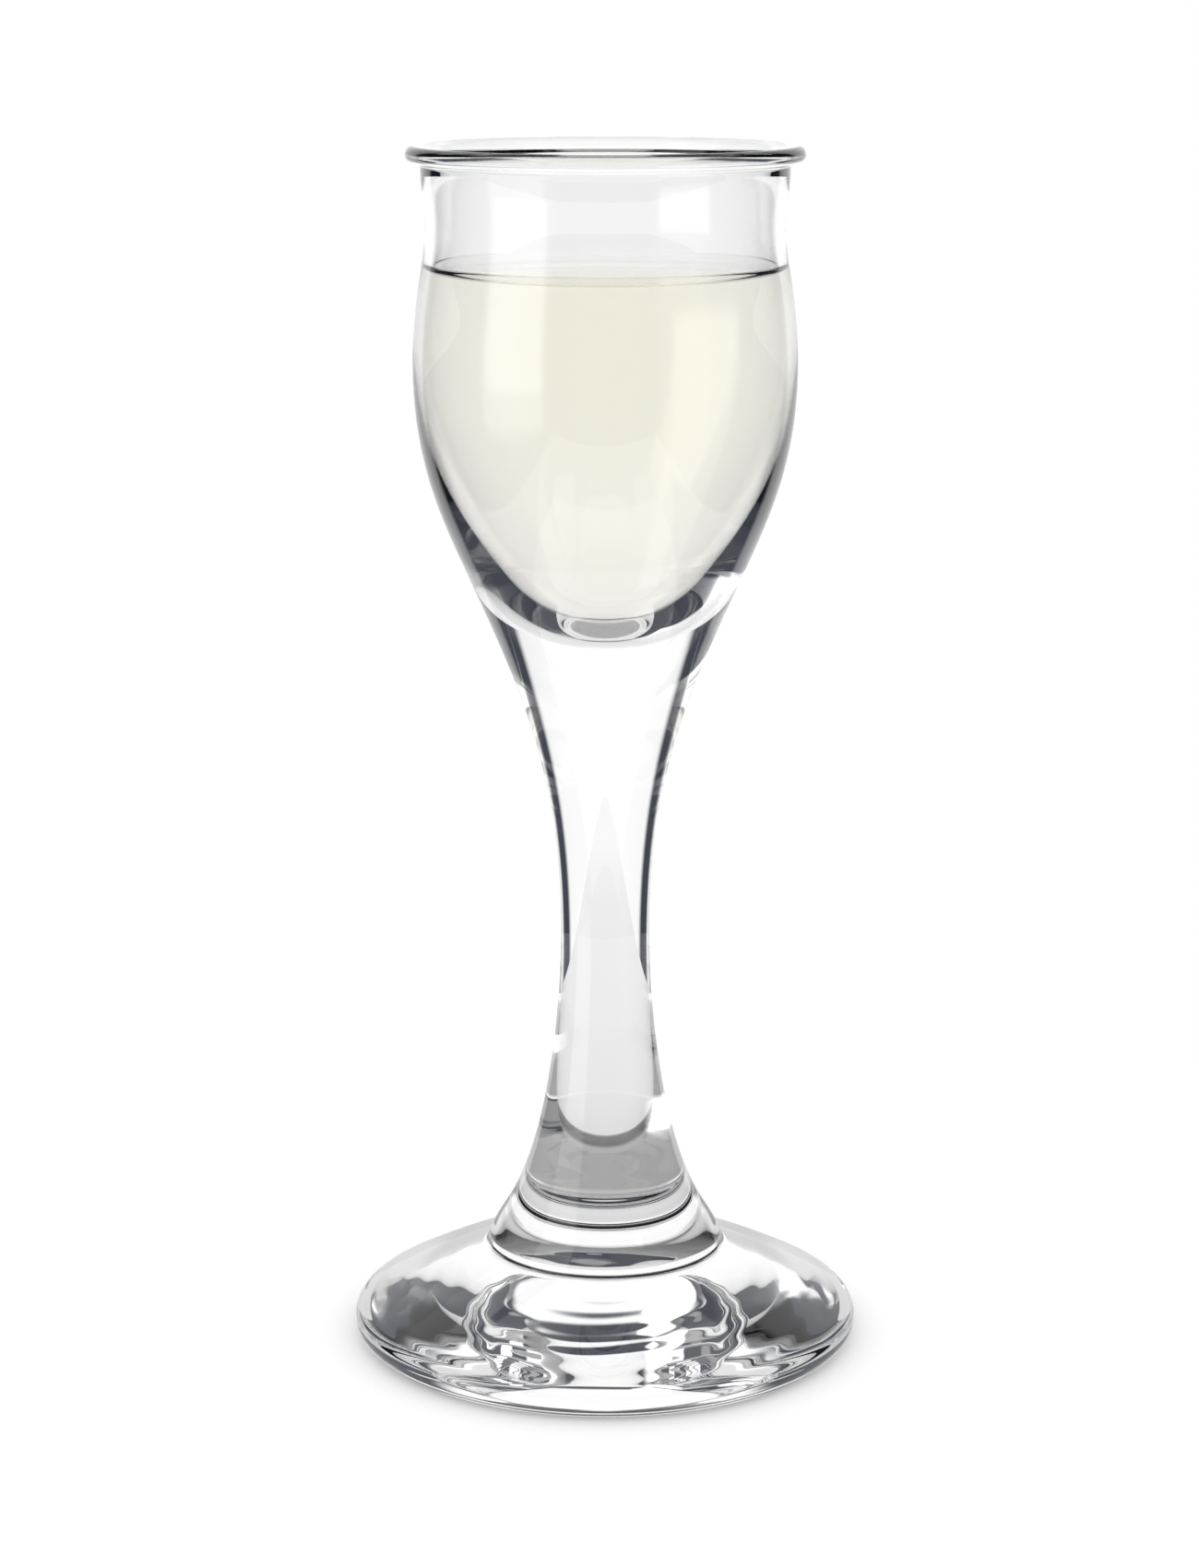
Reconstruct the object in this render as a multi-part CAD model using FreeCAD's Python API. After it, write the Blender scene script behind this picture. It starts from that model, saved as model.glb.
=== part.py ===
import FreeCAD, Part
import math
import os

# Stemmed schnapps glass, blown bowl on a drawn solid stem and a pressed foot, all one piece of glass.
# The drink that stands in the bowl is a second solid that rests in it.
# Millimetres. The origin is the middle of the face the foot stands on, and +Z is the glass's axis.
# The stem's stations are heights above that face. The bowl's are depths below the top of the rim,
# so a taller glass gets a longer stem and carries the same bowl and drink higher.
HEIGHT = 127.0

# Foot
FOOT_RADIUS = 27.1
FOOT_EDGE_ROUND = 1.95          # radius of the fire-polished outer edge
REST_RING_WIDTH = 1.0           # flat ring that the glass stands on, just inside the rounded edge
UNDERSIDE_RISE = 1.0            # height of the hollow under the foot, at the axis
FOOT_EDGE_SLOPE = math.radians(29.0)  # fall of the domed top where it runs into the edge
FOOT_CONE_SLOPE = math.radians(21.0)  # fall of the domed top where the cone stands on it

# Stem: the cone that grows out of the foot, the waist and the flare below the bowl
CONE_RADIUS = 12.65             # where the cone and the foot's top would meet in a corner
CONE_ANGLE = math.radians(80.0) # steepness of the cone there, before it leans in
CONE_FILLET = 1.2
CONE_SKIRT_HEIGHT = 11.3
CONE_SKIRT_RADIUS = 12.3
CONE_TOP_HEIGHT = 14.5
CONE_TOP_RADIUS = 10.45
ANKLE_HEIGHT = 20.5
ANKLE_RADIUS = 7.9
LOWER_STEM_HEIGHT = 30.0
LOWER_STEM_RADIUS = 5.83
WAIST_HEIGHT = 46.0
WAIST_RADIUS = 4.72
UPPER_STEM_HEIGHT = 60.0
UPPER_STEM_RADIUS = 6.08

# Bowl, outside
FLARE_DEPTH = 55.5
FLARE_RADIUS = 9.43
BOWL_FOOT_DEPTH = 44.0
BOWL_FOOT_RADIUS = 14.32
BOWL_SIDE_DEPTH = 34.0
BOWL_SIDE_RADIUS = 18.26
BELLY_DEPTH = 22.2
BELLY_RADIUS = 19.82
SHOULDER_DEPTH = 14.5
SHOULDER_RADIUS = 19.17
NECK_DEPTH = 7.7
NECK_RADIUS = 18.42

# Rim: a fire-polished bead that turns outwards
RIM_RADIUS = 20.35
BEAD_RADIUS = 0.87
LIP_RADIUS = 18.82              # outside of the wall just below the bead
LIP_FILLET = 0.5
LIP_FLARE = math.radians(30.0)  # lean of the inside where it runs onto the bead

# Bowl, inside: thin walls above, thick glass at the bottom
NECK_WALL = 1.08
BELLY_WALL = 1.15
BOWL_SIDE_WALL = 2.56           # measured level, across the thick lower wall
WELL_DEPTH = 49.4               # lowest point of the inside
WELL_FLOOR_RADIUS = 3.0         # nearly flat bottom left by the blowing
WELL_FLOOR_RISE = 0.3
WELL_RADIUS = 6.2
WELL_RISE = 2.0
WELL_SIDE_RADIUS = 11.0
WELL_SIDE_RISE = 7.4

# Drink
FILL_DEPTH = 13.0
MENISCUS_RISE = 1.1             # how far the drink climbs the glass
MENISCUS_WIDTH = 1.4

AXIS_FOOT = FreeCAD.Vector(0, 0, 0)
AXIS_UP = FreeCAD.Vector(0, 0, 1)


def at(radius, height):
    return FreeCAD.Vector(radius, 0, height)


def below_rim(radius, depth):
    return at(radius, HEIGHT - depth)


def above_well(radius, rise):
    return below_rim(radius, WELL_DEPTH - rise)


def heading(angle):
    return FreeCAD.Vector(math.cos(angle), 0, math.sin(angle))


def on_circle(centre, radius, angle):
    return centre + heading(angle) * radius


def arc(centre, radius, start, end):
    middle = (start + end) / 2
    stops = [on_circle(centre, radius, angle) for angle in (start, middle, end)]
    return Part.Arc(*stops).toShape()


def line(start, end):
    return Part.LineSegment(start, end).toShape()


def spline(points, start_heading, end_heading):
    curve = Part.BSplineCurve()
    curve.interpolate(Points=points, InitialTangent=start_heading, FinalTangent=end_heading)
    return curve


def cut_at_stations(curve):
    """The curve as one edge for each span, which keeps the turned faces short enough to measure well."""
    knots = curve.getKnots()
    return [curve.toShape(start, end) for start, end in zip(knots, knots[1:])]


def turned(edges):
    """The solid made by turning an outline, which ends on the axis at both ends, round the axis."""
    closed = edges + [line(edges[-1].lastVertex(True).Point, edges[0].firstVertex(True).Point)]
    face = Part.Face(Part.Wire(closed))
    return face.revolve(AXIS_FOOT, AXIS_UP, 360)


def foot_underside():
    """The shallow hollow under the foot and the flat ring round it."""
    ring_outside = at(FOOT_RADIUS - FOOT_EDGE_ROUND, 0)
    ring_inside = ring_outside - at(REST_RING_WIDTH, 0)
    sphere_radius = (ring_inside.x ** 2 + UNDERSIDE_RISE ** 2) / (2 * UNDERSIDE_RISE)
    sphere_centre = at(0, UNDERSIDE_RISE - sphere_radius)
    ring_angle = math.acos(ring_inside.x / sphere_radius)
    hollow = arc(sphere_centre, sphere_radius, math.pi / 2, ring_angle)
    return [hollow, line(ring_inside, ring_outside)]


def foot_edge_and_top():
    """The rounded edge, the domed top and the fillet that turns it up into the cone."""
    edge_centre = at(FOOT_RADIUS - FOOT_EDGE_ROUND, FOOT_EDGE_ROUND)
    edge_angle = math.pi / 2 - FOOT_EDGE_SLOPE
    edge_top = on_circle(edge_centre, FOOT_EDGE_ROUND, edge_angle)

    across = edge_top.x - CONE_RADIUS
    dome_radius = across / (math.sin(FOOT_EDGE_SLOPE) - math.sin(FOOT_CONE_SLOPE))
    dome_centre = on_circle(edge_top, -dome_radius, edge_angle)
    corner = on_circle(dome_centre, dome_radius, math.pi / 2 - FOOT_CONE_SLOPE)

    # The fillet's circle lies outside the glass and touches both the dome and the cone.
    up_cone = heading(math.pi - CONE_ANGLE)
    out_of_cone = heading(math.pi / 2 - CONE_ANGLE)
    offset_corner = corner + out_of_cone * CONE_FILLET - dome_centre
    along = offset_corner.dot(up_cone)
    excess = offset_corner.dot(offset_corner) - (dome_radius + CONE_FILLET) ** 2
    climb = math.sqrt(along ** 2 - excess) - along
    from_dome = offset_corner + up_cone * climb
    dome_end = math.atan2(from_dome.z, from_dome.x)
    return [
        arc(edge_centre, FOOT_EDGE_ROUND, -math.pi / 2, edge_angle),
        arc(dome_centre, dome_radius, edge_angle, dome_end),
        arc(dome_centre + from_dome, CONE_FILLET, dome_end + math.pi, 3 * math.pi / 2 - CONE_ANGLE),
    ]


def rim_fillet_centre():
    """Centre of the small hollow between the wall and the bead that overhangs it."""
    across = RIM_RADIUS - BEAD_RADIUS - LIP_RADIUS - LIP_FILLET
    drop = math.sqrt((BEAD_RADIUS + LIP_FILLET) ** 2 - across ** 2)
    return at(LIP_RADIUS + LIP_FILLET, HEIGHT - BEAD_RADIUS - drop)


def bead_centre():
    return at(RIM_RADIUS - BEAD_RADIUS, HEIGHT - BEAD_RADIUS)


def outside_of_stem_and_bowl(base):
    lip = rim_fillet_centre() - at(LIP_FILLET, 0)
    stations = [
        base,
        at(CONE_SKIRT_RADIUS, CONE_SKIRT_HEIGHT),
        at(CONE_TOP_RADIUS, CONE_TOP_HEIGHT),
        at(ANKLE_RADIUS, ANKLE_HEIGHT),
        at(LOWER_STEM_RADIUS, LOWER_STEM_HEIGHT),
        at(WAIST_RADIUS, WAIST_HEIGHT),
        at(UPPER_STEM_RADIUS, UPPER_STEM_HEIGHT),
        below_rim(FLARE_RADIUS, FLARE_DEPTH),
        below_rim(BOWL_FOOT_RADIUS, BOWL_FOOT_DEPTH),
        below_rim(BOWL_SIDE_RADIUS, BOWL_SIDE_DEPTH),
        below_rim(BELLY_RADIUS, BELLY_DEPTH),
        below_rim(SHOULDER_RADIUS, SHOULDER_DEPTH),
        below_rim(NECK_RADIUS, NECK_DEPTH),
        lip,
    ]
    return spline(stations, heading(math.pi - CONE_ANGLE), AXIS_UP)


def rim():
    """The fillet under the bead and the bead itself, round to where the inside runs onto it."""
    fillet_centre = rim_fillet_centre()
    centre = bead_centre()
    toward_bead = centre - fillet_centre
    meeting = math.atan2(toward_bead.z, toward_bead.x)
    return [
        arc(fillet_centre, LIP_FILLET, math.pi, meeting),
        arc(centre, BEAD_RADIUS, meeting - math.pi, math.pi - LIP_FLARE),
    ]


def inside_curve():
    """The inside of the bowl, from the bead down to the bottom of the well on the axis."""
    lip = on_circle(bead_centre(), BEAD_RADIUS, math.pi - LIP_FLARE)
    stations = [
        lip,
        below_rim(NECK_RADIUS - NECK_WALL, NECK_DEPTH),
        below_rim(BELLY_RADIUS - BELLY_WALL, BELLY_DEPTH),
        below_rim(BOWL_SIDE_RADIUS - BOWL_SIDE_WALL, BOWL_SIDE_DEPTH),
        above_well(WELL_SIDE_RADIUS, WELL_SIDE_RISE),
        above_well(WELL_RADIUS, WELL_RISE),
        above_well(WELL_FLOOR_RADIUS, WELL_FLOOR_RISE),
        above_well(0, 0),
    ]
    return spline(stations, heading(-math.pi / 2 - LIP_FLARE), heading(math.pi))


def glass():
    edges = foot_underside() + foot_edge_and_top()
    edges += cut_at_stations(outside_of_stem_and_bowl(edges[-1].lastVertex(True).Point))
    edges += rim()
    edges += cut_at_stations(inside_curve())
    return turned(edges)


def drink():
    """What fills the inside up to the fill depth, with the curl that climbs the glass."""
    inside = inside_curve()
    contact_height = HEIGHT - FILL_DEPTH + MENISCUS_RISE
    level = Part.Plane(at(0, contact_height), AXIS_UP)
    contact = inside.intersect(level)[0][0]
    contact = at(contact.X, contact.Z)
    wetted = inside.copy()
    wetted.segment(inside.parameter(contact), inside.LastParameter)
    wetted.reverse()
    curl_foot = below_rim(contact.x - MENISCUS_WIDTH, FILL_DEPTH)
    curl = spline([contact, curl_foot], heading(math.radians(250)), heading(math.pi)).toShape()
    return turned(cut_at_stations(wetted) + [curl, line(curl_foot, below_rim(0, FILL_DEPTH))])


def main():
    os.makedirs("parts", exist_ok=True)
    for name, solid in (("glass", glass()), ("drink", drink())):
        solid.exportStep("parts/" + name + ".step")
        print(name, solid.isValid(), round(solid.Volume / 1000, 2), "ml")


main()
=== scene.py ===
"""Looks of the schnapps glass, laid out as an add-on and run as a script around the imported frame."""

import math

import bpy
import numpy as np
from bpy.props import FloatProperty, FloatVectorProperty, PointerProperty
from bpy.types import Operator, Panel, PropertyGroup
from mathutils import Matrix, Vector


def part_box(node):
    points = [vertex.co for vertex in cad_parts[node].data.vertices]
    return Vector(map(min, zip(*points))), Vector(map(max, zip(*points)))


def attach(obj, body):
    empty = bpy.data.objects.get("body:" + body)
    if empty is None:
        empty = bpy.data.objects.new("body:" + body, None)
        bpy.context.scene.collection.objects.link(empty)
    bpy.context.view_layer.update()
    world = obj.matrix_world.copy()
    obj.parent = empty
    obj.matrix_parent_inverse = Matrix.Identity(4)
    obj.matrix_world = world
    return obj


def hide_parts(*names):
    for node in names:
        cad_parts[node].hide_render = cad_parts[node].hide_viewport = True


bl_info = {
    "name": "Schnapps Glass",
    "version": (1, 0, 0),
    "blender": (4, 5, 0),
    "location": "3D View > Sidebar > Schnapps Glass",
    "description": "Builds a stemmed schnapps glass with its drink, and a pale stage",
    "category": "Add Mesh",
}

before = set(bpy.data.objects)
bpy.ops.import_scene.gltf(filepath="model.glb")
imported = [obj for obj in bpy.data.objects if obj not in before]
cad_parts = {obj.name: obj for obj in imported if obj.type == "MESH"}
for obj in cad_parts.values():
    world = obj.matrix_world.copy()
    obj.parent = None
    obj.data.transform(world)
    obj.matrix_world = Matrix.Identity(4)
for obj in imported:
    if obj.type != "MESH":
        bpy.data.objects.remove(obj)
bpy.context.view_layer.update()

MM = 0.001
BODY = "root"
SIDEBAR_TAB = "Schnapps Glass"

# Sizes of the glass, in millimetres. Stations are (radius, height above the foot's face) for the stem,
# and (radius, depth below the top of the rim) for the bowl. Slopes and leans are in radians.
HEIGHT = 127.0
FOOT_RADIUS = 27.1
FOOT_EDGE_ROUND = 1.95
FOOT_EDGE_SLOPE = math.radians(29.0)    # fall of the domed top at the edge
FOOT_CONE_SLOPE = math.radians(21.0)    # and at the cone
REST_RING_WIDTH = 1.0
UNDERSIDE_RISE = 1.0
CONE_RADIUS = 12.65
CONE_ANGLE = math.radians(80.0)
CONE_FILLET = 1.2
STEM_HEIGHTS = ((12.3, 11.3), (10.45, 14.5), (7.9, 20.5), (5.83, 30.0), (4.72, 46.0), (6.08, 60.0))
BOWL_DEPTHS = ((9.43, 55.5), (14.32, 44.0), (18.26, 34.0), (19.82, 22.2), (19.17, 14.5), (18.42, 7.7))
INSIDE_DEPTHS = (
    (17.34, 7.7), (18.67, 22.2), (15.7, 34.0), (11.0, 42.0), (6.2, 47.4), (3.0, 49.1), (0.0, 49.4),
)
RIM_RADIUS = 20.35
BEAD_RADIUS = 0.87
LIP_RADIUS = 18.82
LIP_FILLET = 0.5
LIP_FLARE = math.radians(30.0)

# Sizes of the drink
FILL_DEPTH = 13.0
MENISCUS_RISE = 1.1
MENISCUS_WIDTH = 1.4
MENISCUS_LEAN = math.radians(250.0)     # way the curl sets off from the glass
WETTING = 0.05                          # how far the mesh enters the glass, so that no air shows between

# Ripples that pressing leaves in the underside of the foot. Their width and height were set.
RIPPLE = 2.6
RIPPLE_HEIGHT = 0.010
RIPPLE_WANDER = 8.0                     # how far the rings stray from round, in the wave pattern's own unit
RIPPLE_WANDER_SCALE = 0.3
WAVE_FACTOR = 20                        # the wave pattern repeats at tau over this and its scale
RIPPLE_CEILING = (1.1, 1.3)             # heights between which they die out, just over the hollow

# Fineness of the turned outlines
ARC_STEP = 0.15
CURVE_STEP = 0.45
FLAT_STEP = 0.8
TURN_STEPS = 160
WELD = 0.0001                           # closes the seam and the poles
FIT = 0.05                              # how far a piece's box may be from its CAD node's

# Looks. Colours are sRGB. The glass's index is a usual one. The drink's isn't: a spirit's is 1.36, but with
# these outlines 1.09 to 1.15 came nearest to the photograph, and about equally near.
GLASS_IOR = 1.5
DRINK_IOR = 1.09
DRINK_HEX = "#FDF5BE"
DRINK_DENSITY = 10.0                    # per metre
FLOOR_HEX = "#EDEDED"
ROOM_HEX = "#44464F"

# Camera, in metres, worked out from the ellipses of the foot and the rim
CAMERA_DISTANCE = 0.3685
CAMERA_HEIGHT = 0.1443
CAMERA_ASIDE = -0.0006
CAMERA_DROP = math.radians(12.8)
CLIP_START = 0.01
SENSOR = 36.0                           # millimetres, like the focal length
FOCAL = 82.25

# Floor, in metres: from left to right, and from the front edge, which the camera doesn't see, to the back
FLOOR_SIDES = (-0.08, 0.08)
FLOOR_DEPTHS = (-0.12, 3.0)

# Caustics are off, so the sheet itself glows where the glass would gather light on it. The pattern was set
# from what the foot shows in the photograph: light under the foot, little of it behind the middle, and a
# faint shade all round. Ranges are millimetres from the axis, the rest are shares of the glow.
# All of it is painted light and painted shade in the sheet's glow, which no lamp gives.
RING_INSIDE = (18.0, 20.5)              # where the ring of light and shade begins
RING_OUTSIDE = (25.5, 31.0)             # where it runs out into the open floor
RING_TURN = (0.53, 0.84)                # where light turns to shade, as shares of the way straight back
RING_LIGHT = 2.6
RING_SHADE = 0.03
MIDDLE_LIGHT = 1.6
ROUND_REACH = (150.0, 440.0)            # where the shade round the glass fades
ROUND_SHADE = 0.65

# Lit panels of the tent round the glass, seen from its middle. Each is a rectangle on a plane that faces
# the glass: the way it lies (degrees from straight behind, clockwise seen from above, or None overhead),
# then from and to, across and up, as tangents, its brightness and the softness of its edges. They are
# fitted to what the glass shows in the photograph, and aren't a real studio.
PANELS = (
    ("back_wall", 0.0, (-0.85, 0.9), (-9.0, 1.25), 1.05, 0.12),
    ("ceiling", None, (-0.9, 0.9), (-0.9, 0.582), 1.03, 0.02),
    ("high_lamp", -30.0, (-0.213, 0.213), (0.73, 1.28), 1.3, 0.03),
    ("left_softbox", -122.0, (-0.36, 0.36), (-0.32, 0.9), 1.5, 0.06),
    ("right_wall", 131.0, (-0.3, 0.3), (-0.6, 0.6), 0.3, 0.1),
)
GRAZING = 1e-4                          # least share of a direction that may point at a panel's plane
OPEN_FRONT = (0.5, 0.35)                # shares of the way back, from where the plain white in front fades in
EVEN_LIGHT = 0.86
# Painted light: the floor sheet's own glow, which no lamp gives
PAINTED_FLOOR_GLOW = 0.24
FLOOR_LIFT = 0.12

# Light paths that the glass needs
BOUNCES = 24
GLOSSY_BOUNCES = 16


def linear(hex_colour):
    """An sRGB hex colour as the linear RGB that shaders take."""
    channels = [int(hex_colour[i:i + 2], 16) / 255 for i in (1, 3, 5)]
    return [c / 12.92 if c <= 0.04045 else ((c + 0.055) / 1.055) ** 2.4 for c in channels]


# Outlines: (radius, height) points in millimetres, travelled with the solid on the left

def heading(angle):
    return np.array((math.cos(angle), math.sin(angle)))


def arc(centre, radius, start, end):
    count = max(4, math.ceil(abs(end - start) * radius / ARC_STEP))
    angles = np.linspace(start, end, count + 1)
    return np.asarray(centre) + radius * np.stack([np.cos(angles), np.sin(angles)], 1)


def straight(start, end):
    start, end = np.asarray(start, float), np.asarray(end, float)
    count = max(2, math.ceil(np.linalg.norm(end - start) / FLAT_STEP))
    return start + (end - start) * np.linspace(0, 1, count + 1)[:, None]


def spline(stations, start_heading, end_heading):
    """The smooth curve through the stations, timed by their distances, with its end headings given."""
    points = np.asarray(stations, float)
    spans = np.linalg.norm(np.diff(points, axis=0), axis=1)
    count = len(points)
    system = np.zeros((count, count))
    slopes = np.zeros((count, 2))
    system[0, 0] = system[-1, -1] = 1
    slopes[0], slopes[-1] = start_heading, end_heading
    for i in range(1, count - 1):
        before, after = spans[i - 1], spans[i]
        system[i, i - 1:i + 2] = after, 2 * (before + after), before
        rise_before = (points[i] - points[i - 1]) / before
        rise_after = (points[i + 1] - points[i]) / after
        slopes[i] = 3 * (after * rise_before + before * rise_after)
    slopes = np.linalg.solve(system, slopes)
    pieces = []
    for i, span in enumerate(spans):
        t = np.linspace(0, 1, max(3, math.ceil(span / CURVE_STEP)), endpoint=False)[:, None]
        pieces.append(
            (2 * t**3 - 3 * t**2 + 1) * points[i] + (3 * t**2 - 2 * t**3) * points[i + 1]
            + span * ((t**3 - 2 * t**2 + t) * slopes[i] + (t**3 - t**2) * slopes[i + 1])
        )
    return np.vstack(pieces + [points[-1:]])


def joined(runs):
    """The runs end to end, with the point that two neighbours share kept once."""
    return np.vstack([run[:-1] for run in runs[:-1]] + [runs[-1]])


def foot_outline(sizes):
    """From the axis, under the foot, round its edge and up its domed top to the foot of the cone."""
    ring_outside = sizes.foot_radius / MM - FOOT_EDGE_ROUND
    ring_inside = ring_outside - REST_RING_WIDTH
    rise = sizes.underside_rise / MM
    sphere = (ring_inside ** 2 + rise ** 2) / (2 * rise)
    hollow_radii = straight((0, 0), (ring_inside, 0))[:, 0]
    hollow = np.stack([hollow_radii, rise - sphere + np.sqrt(sphere ** 2 - hollow_radii ** 2)], 1)

    edge_centre = np.array((ring_outside, FOOT_EDGE_ROUND))
    edge_angle = math.pi / 2 - FOOT_EDGE_SLOPE
    edge = arc(edge_centre, FOOT_EDGE_ROUND, -math.pi / 2, edge_angle)
    dome_radius = (edge[-1][0] - CONE_RADIUS) / (math.sin(FOOT_EDGE_SLOPE) - math.sin(FOOT_CONE_SLOPE))
    dome_centre = edge[-1] - dome_radius * heading(edge_angle)
    corner = dome_centre + dome_radius * heading(math.pi / 2 - FOOT_CONE_SLOPE)

    # The fillet's circle lies outside the glass and touches both the dome and the cone.
    up_cone = heading(math.pi - CONE_ANGLE)
    offset_corner = corner + CONE_FILLET * heading(math.pi / 2 - CONE_ANGLE) - dome_centre
    along = offset_corner @ up_cone
    excess = offset_corner @ offset_corner - (dome_radius + CONE_FILLET) ** 2
    from_dome = offset_corner + up_cone * (math.sqrt(along ** 2 - excess) - along)
    dome_end = math.atan2(from_dome[1], from_dome[0])
    dome = arc(dome_centre, dome_radius, edge_angle, dome_end)
    fillet = arc(dome_centre + from_dome, CONE_FILLET, dome_end + math.pi, 3 * math.pi / 2 - CONE_ANGLE)
    return joined([hollow, straight((ring_inside, 0), (ring_outside, 0)), edge, dome, fillet])


def rim_centres(height):
    """Centres of the bead and of the small hollow under it."""
    bead = np.array((RIM_RADIUS - BEAD_RADIUS, height - BEAD_RADIUS))
    across = bead[0] - LIP_RADIUS - LIP_FILLET
    drop = math.sqrt((BEAD_RADIUS + LIP_FILLET) ** 2 - across ** 2)
    return bead, np.array((LIP_RADIUS + LIP_FILLET, bead[1] - drop))


def rim_outline(height):
    bead, hollow = rim_centres(height)
    meeting = math.atan2(*(bead - hollow)[::-1])
    return joined([
        arc(hollow, LIP_FILLET, math.pi, meeting),
        arc(bead, BEAD_RADIUS, meeting - math.pi, math.pi - LIP_FLARE),
    ])


def below_rim(stations, height):
    return [(radius, height - depth) for radius, depth in stations]


def outside_outline(base, height):
    hollow = rim_centres(height)[1]
    lip = hollow - (LIP_FILLET, 0)
    stations = [base, *STEM_HEIGHTS, *below_rim(BOWL_DEPTHS, height), lip]
    return spline(stations, heading(math.pi - CONE_ANGLE), (0, 1))


def inside_outline(height):
    bead = rim_centres(height)[0]
    lip = bead + BEAD_RADIUS * heading(math.pi - LIP_FLARE)
    stations = [lip, *below_rim(INSIDE_DEPTHS, height)]
    return spline(stations, heading(-math.pi / 2 - LIP_FLARE), (-1, 0))


def glass_outline(sizes):
    height = sizes.height / MM
    foot = foot_outline(sizes)
    outside = outside_outline(foot[-1], height)
    return joined([foot, outside, rim_outline(height), inside_outline(height)])


def drink_outline(sizes):
    """Up the wetted glass from the axis, over the curl at its edge and back along the level top."""
    height = sizes.height / MM
    level = height - sizes.fill_depth / MM
    contact_height = level + MENISCUS_RISE
    wall = inside_outline(height)[::-1]
    contact = np.array((np.interp(contact_height, wall[:, 1], wall[:, 0]), contact_height))
    wetted = np.vstack([wall[wall[:, 1] < contact_height], contact])
    along = np.gradient(wetted, axis=0)
    into_glass = np.stack([along[:, 1], -along[:, 0]], 1) / np.linalg.norm(along, axis=1)[:, None]
    wetted += WETTING * into_glass
    wetted[0, 0] = 0
    curl_foot = (contact[0] - MENISCUS_WIDTH, level)
    curl = spline([contact, curl_foot], heading(MENISCUS_LEAN), (-1, 0))
    return np.vstack([wetted, joined([curl, straight(curl_foot, (0, level))])])


# Node trees

def add(tree, kind, inputs=None, **settings):
    """A node with its settings and its inputs, by name or number, each a plain value or a socket to link."""
    node = tree.nodes.new(kind)
    for name, value in settings.items():
        setattr(node, name, value)
    for key, value in (inputs or {}).items():
        if isinstance(value, bpy.types.NodeSocket):
            tree.links.new(value, node.inputs[key])
        else:
            node.inputs[key].default_value = value
    return node


def calculate(tree, operation, *terms):
    """The result of a Math node, on sockets and plain numbers."""
    return add(tree, "ShaderNodeMath", dict(enumerate(terms)), operation=operation).outputs[0]


def ramp(tree, value, start, end, low=0.0, high=1.0, shape="SMOOTHSTEP"):
    """Runs from low, where the value is at the start, to high, where it is at the end, and stays there."""
    inputs = {"Value": value, "From Min": start, "From Max": end, "To Min": low, "To Max": high}
    return add(tree, "ShaderNodeMapRange", inputs, interpolation_type=shape).outputs[0]


def layered(tree, share, under, over):
    """The number underneath, with a share of the other laid over it."""
    return add(tree, "ShaderNodeMix", {0: share, 2: under, 3: over}, data_type="FLOAT").outputs[0]


def lit_by(tree, label, share, under, brightness):
    """The colour underneath, with a share of plain white light of that brightness laid over it."""
    light = (brightness, brightness, brightness, 1)
    inputs = {0: share, 6: under, 7: light}
    return add(tree, "ShaderNodeMix", inputs, data_type="RGBA", label=label).outputs[2]


def lathe_tree():
    """Turns an outline, a chain of points in the XZ plane, round Z into a closed smooth mesh."""
    tree = bpy.data.node_groups.new("lathe", "GeometryNodeTree")
    face = tree.interface
    face.new_socket("Outline", in_out="INPUT", socket_type="NodeSocketGeometry")
    face.new_socket("Turn Steps", in_out="INPUT", socket_type="NodeSocketInt")
    face.new_socket("Weld Distance", in_out="INPUT", socket_type="NodeSocketFloat")
    face.new_socket("Material", in_out="INPUT", socket_type="NodeSocketMaterial")
    face.new_socket("Turned", in_out="OUTPUT", socket_type="NodeSocketGeometry")
    given = add(tree, "NodeGroupInput").outputs
    outline, steps = given["Outline"], given["Turn Steps"]

    # A flat grid with a column for each step of the turn and a row for each point of the outline
    count = add(tree, "GeometryNodeAttributeDomainSize", {"Geometry": outline}).outputs["Point Count"]
    columns = calculate(tree, "ADD", steps, 1.0)
    grid = add(tree, "GeometryNodeMeshGrid", {"Vertices X": columns, "Vertices Y": count}).outputs["Mesh"]

    index = add(tree, "GeometryNodeInputIndex").outputs[0]
    along = calculate(tree, "MODULO", index, count)
    column = calculate(tree, "FLOOR", calculate(tree, "DIVIDE", index, count))
    angle = calculate(tree, "MULTIPLY", calculate(tree, "DIVIDE", column, steps), math.tau)

    place = add(tree, "GeometryNodeInputPosition").outputs[0]
    sampled = add(
        tree, "GeometryNodeSampleIndex", {"Geometry": outline, "Value": place, "Index": along},
        data_type="FLOAT_VECTOR", domain="POINT",
    ).outputs["Value"]
    turned = add(
        tree, "ShaderNodeVectorRotate", {"Vector": sampled, "Angle": angle}, rotation_type="Z_AXIS",
    ).outputs[0]
    shaped = add(tree, "GeometryNodeSetPosition", {"Geometry": grid, "Position": turned}).outputs[0]
    welding = {"Geometry": shaped, "Distance": given["Weld Distance"]}
    welded = add(tree, "GeometryNodeMergeByDistance", welding).outputs[0]
    smooth = add(tree, "GeometryNodeSetShadeSmooth", {0: welded}).outputs[0]
    real = add(tree, "GeometryNodeRealizeInstances", {"Geometry": smooth}).outputs[0]
    dressing = {"Geometry": real, "Material": given["Material"]}
    dressed = add(tree, "GeometryNodeSetMaterial", dressing).outputs[0]
    add(tree, "NodeGroupOutput", {"Turned": dressed})
    return tree


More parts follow.
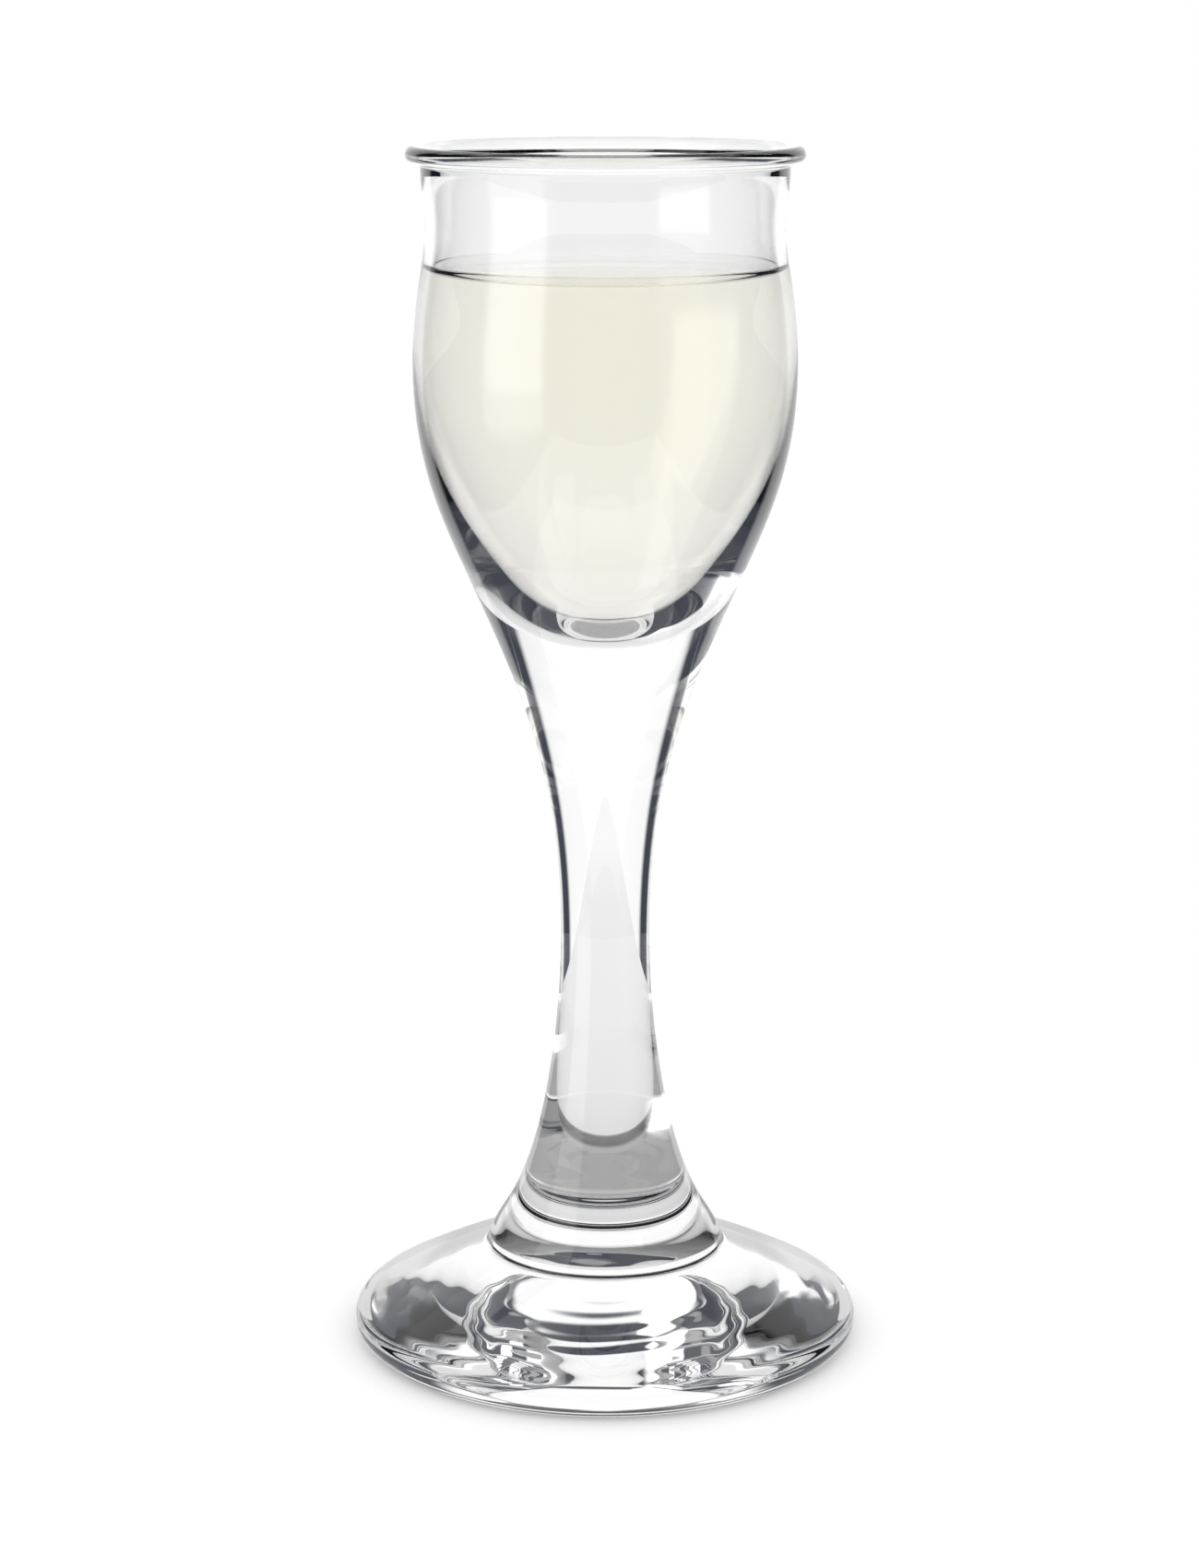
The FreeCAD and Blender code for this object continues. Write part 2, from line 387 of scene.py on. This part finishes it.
def turned_piece(name, outline, material):
    """A plain mesh object made by running the lathe tree on an outline in millimetres."""
    chain = bpy.data.meshes.new(name + "_outline")
    places = [(radius * MM, 0, height * MM) for radius, height in outline]
    chain.from_pydata(places, [(i, i + 1) for i in range(len(places) - 1)], [])
    source = bpy.data.objects.new(name + "_outline", chain)
    bpy.context.scene.collection.objects.link(source)

    tree = lathe_tree()
    modifier = source.modifiers.new("lathe", "NODES")
    modifier.node_group = tree
    values = {"Turn Steps": TURN_STEPS, "Weld Distance": WELD * MM, "Material": material}
    for item in tree.interface.items_tree:
        if item.name in values:
            modifier[item.identifier] = values[item.name]

    graph = bpy.context.evaluated_depsgraph_get()
    mesh = bpy.data.meshes.new_from_object(source.evaluated_get(graph))
    bpy.data.objects.remove(source)
    bpy.data.node_groups.remove(tree)
    mesh.name = name
    piece = bpy.data.objects.new(name, mesh)
    bpy.context.scene.collection.objects.link(piece)
    return piece


def check_fit(piece, node):
    """Raises an error if the piece isn't where its CAD node is."""
    corners = [Vector(corner) for corner in piece.bound_box]
    low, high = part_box(node)
    off = max(
        max(abs(min(corner[i] for corner in corners) - low[i]) for i in range(3)),
        max(abs(max(corner[i] for corner in corners) - high[i]) for i in range(3)),
    )
    if off > (FIT + WETTING) * MM:
        raise RuntimeError(f"{piece.name} is {off / MM:.2f} mm away from its solid")


# Materials

def material(name):
    """A new material and its tree."""
    made = bpy.data.materials.new(name)
    made.use_nodes = True
    return made, made.node_tree


def clear_material(name, ior):
    """A new material that lets all light through and bends it, with its tree and its Principled shader."""
    made, tree = material(name)
    shader = tree.nodes["Principled BSDF"]
    shader.inputs["Base Color"].default_value = (1, 1, 1, 1)
    shader.inputs["Roughness"].default_value = 0.0
    shader.inputs["IOR"].default_value = ior
    shader.inputs["Transmission Weight"].default_value = 1.0
    return made, tree, shader


def fire_polished_crystal(settings):
    """Clear lead-free crystal, fire-polished: no grain or haze, so only bends and edges show its form.

    The foot was pressed, which left faint rings under it. They make what is seen through the foot waver.
    """
    made, tree, shader = clear_material("fire_polished_crystal", settings.glass_ior)
    place = add(tree, "ShaderNodeTexCoord").outputs["Object"]
    pattern = {
        "Vector": place, "Scale": math.tau / (WAVE_FACTOR * RIPPLE * MM),
        "Distortion": RIPPLE_WANDER, "Detail": 1.0, "Detail Scale": RIPPLE_WANDER_SCALE,
    }
    rings = add(tree, "ShaderNodeTexWave", pattern, wave_type="RINGS", rings_direction="Z").outputs["Fac"]
    height = add(tree, "ShaderNodeSeparateXYZ", {0: place}).outputs["Z"]
    full, none = RIPPLE_CEILING
    under = ramp(tree, height, none * MM, full * MM, shape="LINEAR")
    ripple = calculate(tree, "MULTIPLY", rings, under)
    bump = add(tree, "ShaderNodeBump", {"Distance": RIPPLE_HEIGHT * MM, "Height": ripple}).outputs[0]
    tree.links.new(bump, shader.inputs["Normal"])
    return made


def pale_spirit(settings):
    """Pale straw spirit, still and clear: a thin tint that deepens with the distance seen through it."""
    made, tree, _ = clear_material("pale_straw_spirit", settings.drink_ior)
    tint = {"Color": (*settings.drink_colour, 1.0), "Density": settings.drink_density}
    absorbed = add(tree, "ShaderNodeVolumeAbsorption", tint).outputs[0]
    tree.links.new(absorbed, tree.nodes["Material Output"].inputs["Volume"])
    return made


def pale_sheet(stage):
    """Matt white paper sheet that keeps the glass's soft shadow, and glows with painted light and shade."""
    made, tree = material("matt_paper_painted_glow")
    tree.nodes.remove(tree.nodes["Principled BSDF"])
    matt = add(tree, "ShaderNodeBsdfDiffuse", {"Color": (*stage.floor_colour, 1.0)}).outputs[0]

    place = add(tree, "ShaderNodeTexCoord").outputs["Object"]
    distance = add(tree, "ShaderNodeVectorMath", {0: place}, operation="LENGTH").outputs["Value"]
    behind = add(tree, "ShaderNodeSeparateXYZ", {0: place}).outputs["Y"]
    straight_back = calculate(tree, "DIVIDE", behind, distance)
    # Painted light and shade in the glow, seen by every ray but the camera's: painted light in the middle
    # under the foot, a ring of painted light at its front and sides and painted shade at its back, and
    # painted shade round the glass.
    middle = ramp(tree, distance, RING_INSIDE[1] * MM, RING_INSIDE[0] * MM)
    outside = ramp(tree, distance, RING_OUTSIDE[0] * MM, RING_OUTSIDE[1] * MM)
    ring = ramp(tree, straight_back, *RING_TURN, RING_LIGHT, RING_SHADE)
    around = ramp(
        tree, distance, ROUND_REACH[0] * MM, ROUND_REACH[1] * MM, low=ROUND_SHADE, shape="LINEAR")
    share = layered(tree, outside, ring, around)
    share = layered(tree, middle, share, MIDDLE_LIGHT)

    glow = calculate(tree, "MULTIPLY", share, stage.painted_floor_glow)
    # The camera sees an even glow, lifted, without the painted pattern.
    camera_ray = add(tree, "ShaderNodeLightPath").outputs["Is Camera Ray"]
    glow = layered(tree, camera_ray, glow, stage.painted_floor_glow + stage.floor_lift)
    lit = add(tree, "ShaderNodeEmission", {"Strength": glow}).outputs[0]
    surface = add(tree, "ShaderNodeAddShader", {0: matt, 1: lit}).outputs[0]
    tree.links.new(surface, tree.nodes["Material Output"].inputs["Surface"])
    return made


# Light

def panel_mask(tree, direction, bearing, across, up, softness):
    """1 where the direction meets the panel and 0 elsewhere, with soft edges."""
    if bearing is None:
        axes = ((1, 0, 0), (0, 1, 0), (0, 0, 1))
    else:
        angle = math.radians(bearing)
        axes = ((math.cos(angle), -math.sin(angle), 0), (0, 0, 1), (math.sin(angle), math.cos(angle), 0))
    *aside, ahead = [
        add(tree, "ShaderNodeVectorMath", {0: direction, 1: axis}, operation="DOT_PRODUCT").outputs["Value"]
        for axis in axes
    ]
    facing = calculate(tree, "MAXIMUM", ahead, GRAZING)
    mask = calculate(tree, "GREATER_THAN", ahead, GRAZING)
    for part, (low, high) in zip(aside, (across, up)):
        spread = calculate(tree, "DIVIDE", part, facing)
        distance = calculate(tree, "ABSOLUTE", calculate(tree, "SUBTRACT", spread, (low + high) / 2))
        half = (high - low) / 2
        mask = calculate(tree, "MULTIPLY", mask, ramp(tree, distance, half + softness, half - softness))
    return mask


def light_tent(stage):
    """World light: the glass bends and mirrors the tent, and the camera sees plain white round it."""
    world = bpy.data.worlds.new("light_tent")
    world.use_nodes = True
    tree = world.node_tree
    direction = add(tree, "ShaderNodeTexCoord").outputs["Generated"]
    total = add(tree, "ShaderNodeRGB").outputs[0]
    total.default_value = (*stage.room_colour, 1.0)
    for name, bearing, across, up, brightness, softness in PANELS:
        mask = panel_mask(tree, direction, bearing, across, up, softness)
        total = lit_by(tree, name, mask, total, brightness)

    # Seen through the glass from its side or back, the room is plain white. Mirrored in it, it stays dim.
    path = add(tree, "ShaderNodeLightPath").outputs
    back = add(tree, "ShaderNodeSeparateXYZ", {0: direction}).outputs["Y"]
    forwards = ramp(tree, back, *OPEN_FRONT)
    unmirrored = calculate(tree, "LESS_THAN", path["Glossy Depth"], 0.5)
    through = calculate(tree, "MULTIPLY", forwards, unmirrored)
    total = lit_by(tree, "open_front", through, total, 1.0)
    total = lit_by(tree, "even_light", path["Is Diffuse Ray"], total, stage.even_light)
    total = lit_by(tree, "plain_white", path["Is Camera Ray"], total, 1.0)
    tree.links.new(total, tree.nodes["Background"].inputs["Color"])
    bpy.context.scene.world = world


# Settings, in the sidebar

class SchnappsGlassSizes(PropertyGroup):
    height: FloatProperty(
        name="Height", description="From the foot's face to the top of the rim",
        default=HEIGHT * MM, min=0.11, max=0.15, unit="LENGTH", subtype="DISTANCE")
    foot_radius: FloatProperty(
        name="Foot Radius", description="Radius of the foot at its widest",
        default=FOOT_RADIUS * MM, min=0.02, max=0.04, unit="LENGTH", subtype="DISTANCE")
    underside_rise: FloatProperty(
        name="Underside Rise", description="Height of the hollow under the foot",
        default=UNDERSIDE_RISE * MM, min=0.0001, max=0.004, unit="LENGTH", subtype="DISTANCE")
    fill_depth: FloatProperty(
        name="Fill Depth", description="From the top of the rim down to the drink",
        default=FILL_DEPTH * MM, min=0.008, max=0.04, unit="LENGTH", subtype="DISTANCE")


class SchnappsGlassFinish(PropertyGroup):
    glass_ior: FloatProperty(
        name="Glass IOR", description="Refractive index of the glass",
        default=GLASS_IOR, min=1.4, max=1.7)
    drink_ior: FloatProperty(
        name="Drink IOR", description="Refractive index of the drink, matched to the photograph",
        default=DRINK_IOR, min=1.0, max=1.4)
    drink_colour: FloatVectorProperty(
        name="Drink Colour", description="Colour that the drink lets through",
        default=linear(DRINK_HEX), size=3, min=0, max=1, subtype="COLOR")
    drink_density: FloatProperty(
        name="Drink Density", description="How fast the tint deepens, per metre",
        default=DRINK_DENSITY, min=0, max=100)


class SchnappsGlassStage(PropertyGroup):
    floor_colour: FloatVectorProperty(
        name="Floor Colour", description="Colour of the pale sheet the glass stands on",
        default=linear(FLOOR_HEX), size=3, min=0, max=1, subtype="COLOR")
    room_colour: FloatVectorProperty(
        name="Room Colour", description="Colour of the dim room between the lit panels",
        default=linear(ROOM_HEX), size=3, min=0, max=1, subtype="COLOR")
    even_light: FloatProperty(
        name="Even Light", description="Plain light that falls on the floor",
        default=EVEN_LIGHT, min=0, max=2)
    # Painted light: the sheet glows by itself, and no lamp lights it from below.
    painted_floor_glow: FloatProperty(
        name="Floor Glow", description="Light that comes through the sheet from below",
        default=PAINTED_FLOOR_GLOW, min=0, max=1)
    floor_lift: FloatProperty(
        name="Floor Lift", description="What the camera sees the floor brighter by",
        default=FLOOR_LIFT, min=0, max=1)


# Operators

class SCHNAPPS_OT_glass(Operator):
    """Turn the glass, foot, stem and bowl in one piece, and give it its crystal"""
    bl_idname = "schnapps.glass"
    bl_label = "Glass"

    def execute(self, context):
        scene = context.scene
        finish = fire_polished_crystal(scene.schnapps_finish)
        piece = turned_piece("schnapps_glass", glass_outline(scene.schnapps_sizes), finish)
        check_fit(piece, "glass")
        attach(piece, BODY)
        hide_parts("glass")
        return {"FINISHED"}


class SCHNAPPS_OT_drink(Operator):
    """Turn the drink that fills the bowl, with the curl where it meets the glass"""
    bl_idname = "schnapps.drink"
    bl_label = "Drink"

    def execute(self, context):
        scene = context.scene
        finish = pale_spirit(scene.schnapps_finish)
        piece = turned_piece("pale_drink", drink_outline(scene.schnapps_sizes), finish)
        check_fit(piece, "drink")
        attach(piece, BODY)
        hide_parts("drink")
        return {"FINISHED"}


class SCHNAPPS_OT_stage(Operator):
    """Lay the pale floor, hang the light tent and place the camera"""
    bl_idname = "schnapps.stage"
    bl_label = "Stage"

    def execute(self, context):
        scene = context.scene
        stage = scene.schnapps_stage
        left, right = FLOOR_SIDES
        front, back = FLOOR_DEPTHS
        corners = [(left, front, 0), (right, front, 0), (right, back, 0), (left, back, 0)]
        sheet = bpy.data.meshes.new("floor")
        sheet.from_pydata(corners, [], [(0, 1, 2, 3)])
        sheet.materials.append(pale_sheet(stage))
        floor = bpy.data.objects.new("floor", sheet)
        scene.collection.objects.link(floor)
        light_tent(stage)

        lens = bpy.data.cameras.new("camera")
        lens.sensor_fit = "VERTICAL"
        lens.sensor_width = lens.sensor_height = SENSOR
        lens.lens = FOCAL
        lens.clip_start = CLIP_START
        camera = bpy.data.objects.new("camera", lens)
        camera.location = (CAMERA_ASIDE, -CAMERA_DISTANCE, CAMERA_HEIGHT)
        camera.rotation_euler = (math.pi / 2 - CAMERA_DROP, 0, 0)
        scene.collection.objects.link(camera)
        scene.camera = camera

        scene.view_settings.view_transform = "Standard"
        scene.cycles.max_bounces = BOUNCES
        scene.cycles.transmission_bounces = BOUNCES
        scene.cycles.transparent_max_bounces = BOUNCES
        scene.cycles.glossy_bounces = GLOSSY_BOUNCES
        scene.cycles.caustics_refractive = scene.cycles.caustics_reflective = False
        return {"FINISHED"}


class SCHNAPPS_PT_glass(Panel):
    bl_label = "Schnapps Glass"
    bl_space_type = "VIEW_3D"
    bl_region_type = "UI"
    bl_category = SIDEBAR_TAB

    def draw(self, context):
        scene = context.scene
        for group in (scene.schnapps_sizes, scene.schnapps_finish, scene.schnapps_stage):
            column = self.layout.column(align=True)
            for name in group.__annotations__:
                column.prop(group, name)
        for operator in (SCHNAPPS_OT_glass, SCHNAPPS_OT_drink, SCHNAPPS_OT_stage):
            self.layout.operator(operator.bl_idname)


CLASSES = (
    SchnappsGlassSizes, SchnappsGlassFinish, SchnappsGlassStage,
    SCHNAPPS_OT_glass, SCHNAPPS_OT_drink, SCHNAPPS_OT_stage, SCHNAPPS_PT_glass,
)


def register():
    for cls in CLASSES:
        bpy.utils.register_class(cls)
    bpy.types.Scene.schnapps_sizes = PointerProperty(type=SchnappsGlassSizes)
    bpy.types.Scene.schnapps_finish = PointerProperty(type=SchnappsGlassFinish)
    bpy.types.Scene.schnapps_stage = PointerProperty(type=SchnappsGlassStage)


def unregister():
    del bpy.types.Scene.schnapps_stage
    del bpy.types.Scene.schnapps_finish
    del bpy.types.Scene.schnapps_sizes
    for cls in reversed(CLASSES):
        bpy.utils.unregister_class(cls)


def main():
    register()
    bpy.ops.schnapps.glass()
    bpy.ops.schnapps.drink()
    bpy.ops.schnapps.stage()


if __name__ == "__main__":
    main()
